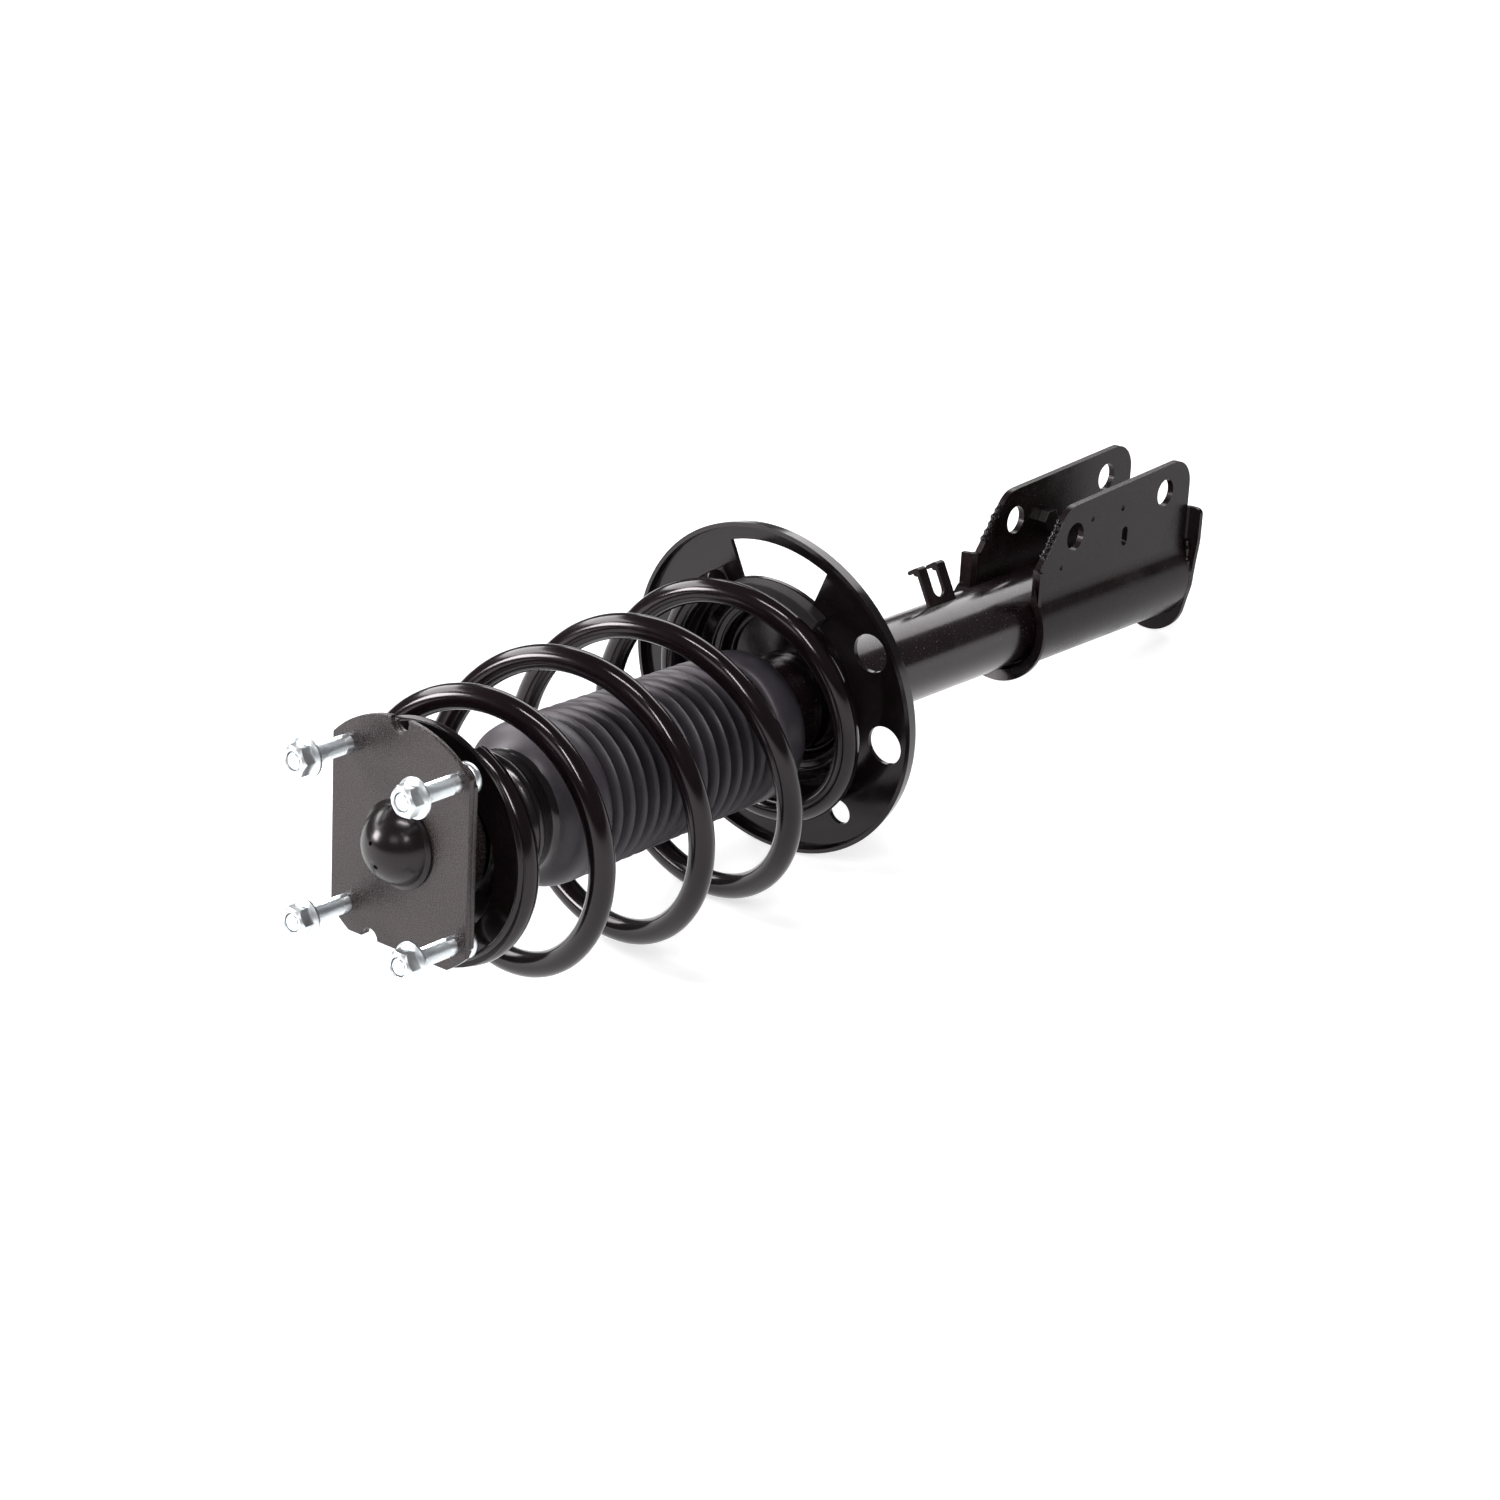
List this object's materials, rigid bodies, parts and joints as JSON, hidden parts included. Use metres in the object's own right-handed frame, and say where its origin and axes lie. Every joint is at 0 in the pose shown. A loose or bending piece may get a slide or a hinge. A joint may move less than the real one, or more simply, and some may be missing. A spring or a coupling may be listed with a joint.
{
  "type": "suspension strut assembly",
  "caption": "Front suspension strut: damper inside a coil spring and pleated boot, with a studded top mount, steering bearing, lower spring seat and two-ear knuckle bracket.",
  "frame": {"origin": "centre of the mount plate's outer face, on the damper's axis", "axes": "+X along the damper from the mount plate toward the knuckle bracket, +Z the way the bracket's ears stand, +Y to the side that the ears' far sheet is on"},
  "size_m": [0.7074, 0.1936, 0.2035],
  "materials": {
    "plate_paint": "satin dark grey coating",
    "zinc": "bright zinc plating",
    "black_paint": "gloss black paint",
    "spring_paint": "gloss black powder coat",
    "boot_rubber": "matt dark rubber",
    "dome_rubber": "glossy black rubber",
    "pad_rubber": "matt black rubber",
    "turned_steel": "turned",
    "bearing_steel": "ground",
    "cage_plastic": "moulded",
    "rod_chrome": "hard chrome, polished",
    "foam": "closed-cell foam",
    "sintered_iron": "sintered and machined",
    "band_plastic": "low-friction plastic"
  },
  "bodies": {
    "top_mount": {"mount_plate": "plate_paint", "mount_shell": "plate_paint", "mount_studs": "zinc", "flange_nuts": "zinc", "isolator_rubber": "pad_rubber", "core_sleeve": "turned_steel", "core_washer": "turned_steel", "rod_nut": "turned_steel", "dome_cap": "dome_rubber", "upper_race": "bearing_steel", "piston_rod": "rod_chrome", "bump_stop": "foam", "rebound_stop": "turned_steel", "piston": "sintered_iron", "piston_band": "band_plastic", "piston_shims": "turned_steel", "piston_nut": "turned_steel"},
    "spring_group": {"upper_seat": "black_paint", "lower_race": "bearing_steel", "bearing_cage": "cage_plastic", "bearing_balls": "bearing_steel", "upper_insulator": "pad_rubber", "coil_spring": "spring_paint", "dust_boot": "boot_rubber"},
    "damper_body": {"reserve_tube": "black_paint", "inner_tube": "turned_steel", "tube_cap": "black_paint", "rod_seal": "pad_rubber", "rod_guide": "sintered_iron", "base_valve": "sintered_iron", "base_shims": "turned_steel", "end_cap": "black_paint", "lower_seat": "black_paint", "lower_insulator": "pad_rubber", "knuckle_bracket": "black_paint", "hose_bracket": "black_paint", "bracket_bolt": "black_paint"}
  },
  "joints": [
    {"name": "steer", "type": "hinge", "parent": "top_mount", "child": "spring_group", "pos_m": [0, 0, 0], "axis": [1, 0, 0], "range_deg": [-40, 40]},
    {"name": "compression", "type": "slide", "parent": "spring_group", "child": "damper_body", "axis": [-1, 0, 0], "range_m": [0, 0.124], "stiffness_N_per_m": 25000, "springref_m": -0.03, "deforming": ["coil_spring", "dust_boot"]}
  ]
}
